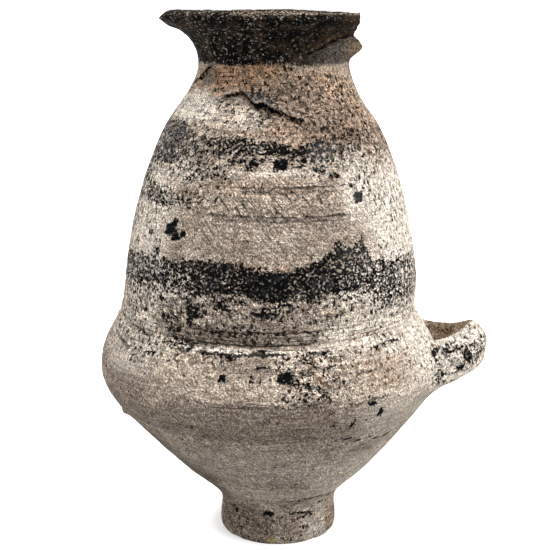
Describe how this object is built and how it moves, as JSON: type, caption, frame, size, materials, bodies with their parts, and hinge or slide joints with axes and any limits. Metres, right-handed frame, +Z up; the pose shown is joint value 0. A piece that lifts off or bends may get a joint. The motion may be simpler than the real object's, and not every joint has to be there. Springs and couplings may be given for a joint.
{
  "type": "impasto urn",
  "caption": "Two-cone impasto clay jar on a small foot, with a broken flared mouth, a hollow body and one upright strap loop handle.",
  "frame": {"origin": "centre of the foot's flat underside", "axes": "+Z up through the mouth, +X towards the handle and the broken side of the mouth, -Y the side the picture shows"},
  "size_m": [0.2842, 0.2476, 0.38],
  "materials": {
    "impasto": "matt"
  },
  "bodies": {
    "root": {"urn": "impasto"}
  },
  "joints": []
}
